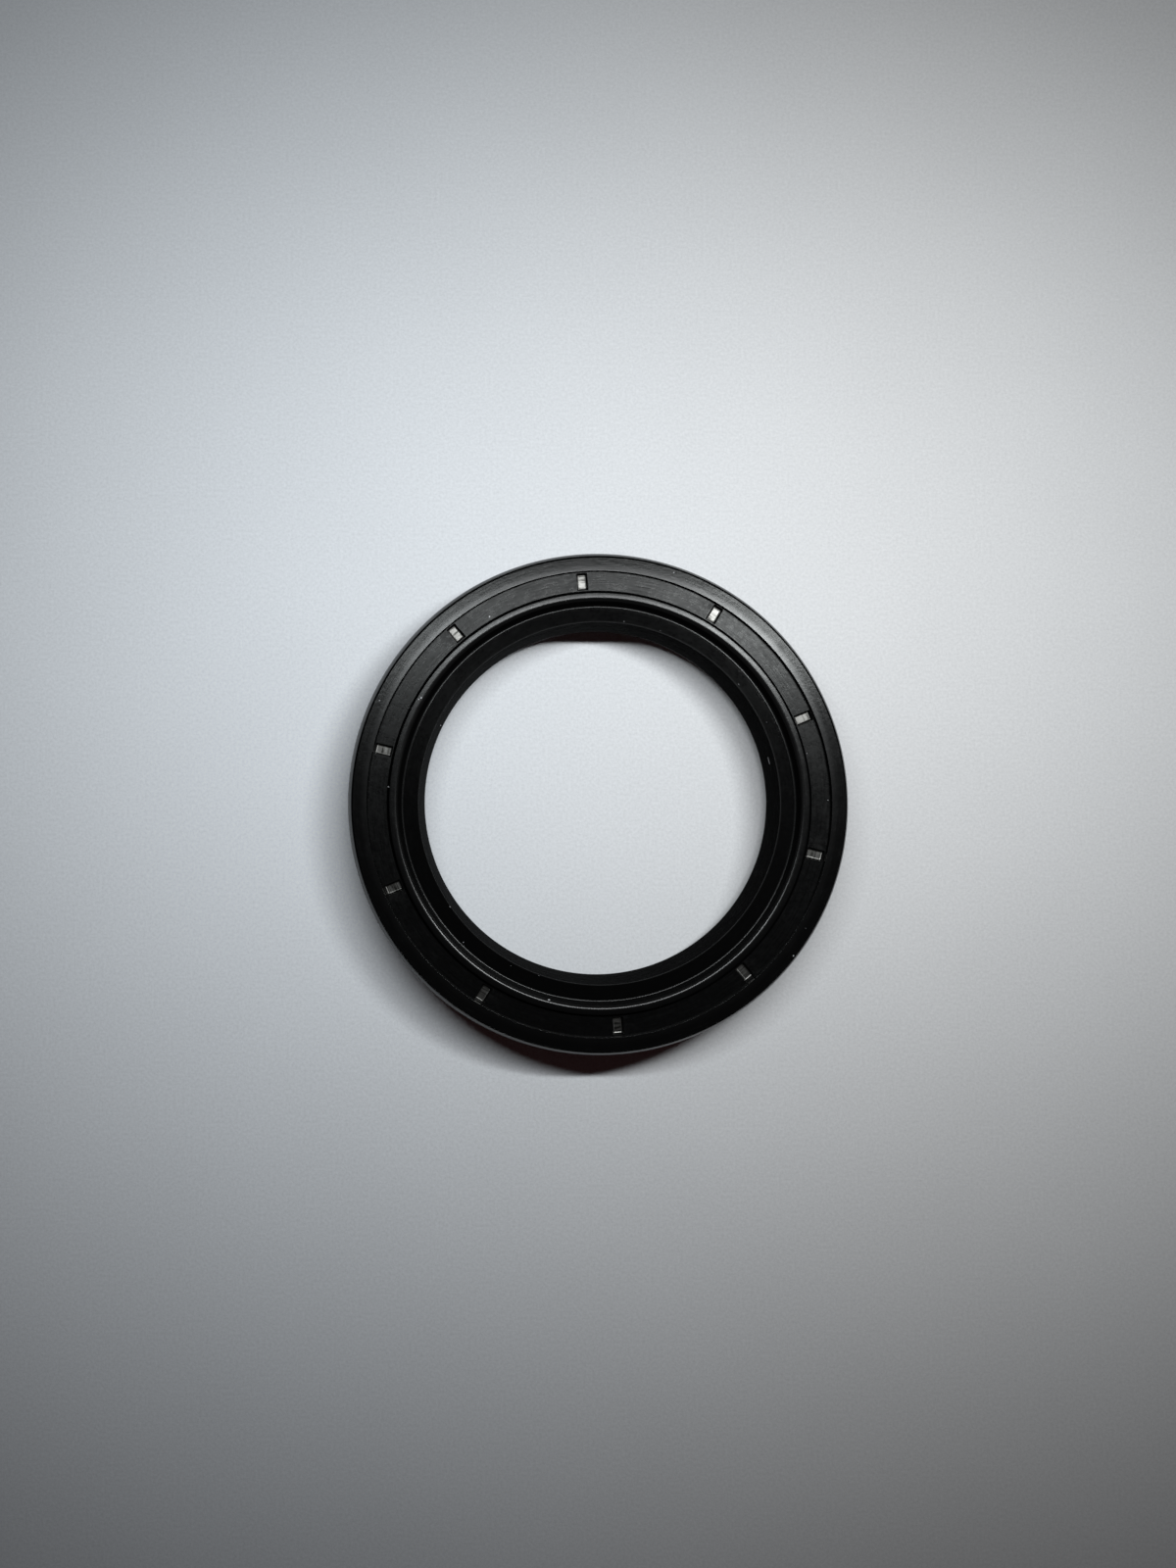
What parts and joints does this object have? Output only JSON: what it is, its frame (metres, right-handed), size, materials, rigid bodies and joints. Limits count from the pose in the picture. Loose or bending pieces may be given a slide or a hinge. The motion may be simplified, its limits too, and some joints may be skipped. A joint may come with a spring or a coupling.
{
  "type": "radial shaft seal",
  "caption": "Round rubber-covered shaft seal with a spring-loaded sealing lip, a dust lip and a recessed back face whose windows show the steel case.",
  "frame": {"origin": "centre of the seal's front face, which is the oil side, at the lowest point of the seal", "axes": "+Z along the axis of rotation, from the oil side towards the air side; +X and +Y across the seal, with the first window 22.5 degrees from +X"},
  "size_m": [0.0554, 0.0554, 0.007],
  "materials": {
    "black_rubber": "moulded nitrile rubber, semi-gloss, lightly scuffed on the back face",
    "case_steel": "bare pressed steel, bright and slightly scratched",
    "spring_steel": "drawn spring wire, closely wound"
  },
  "bodies": {
    "root": {"elastomer_body": "black_rubber", "steel_case": "case_steel", "garter_spring": "spring_steel"}
  },
  "joints": []
}
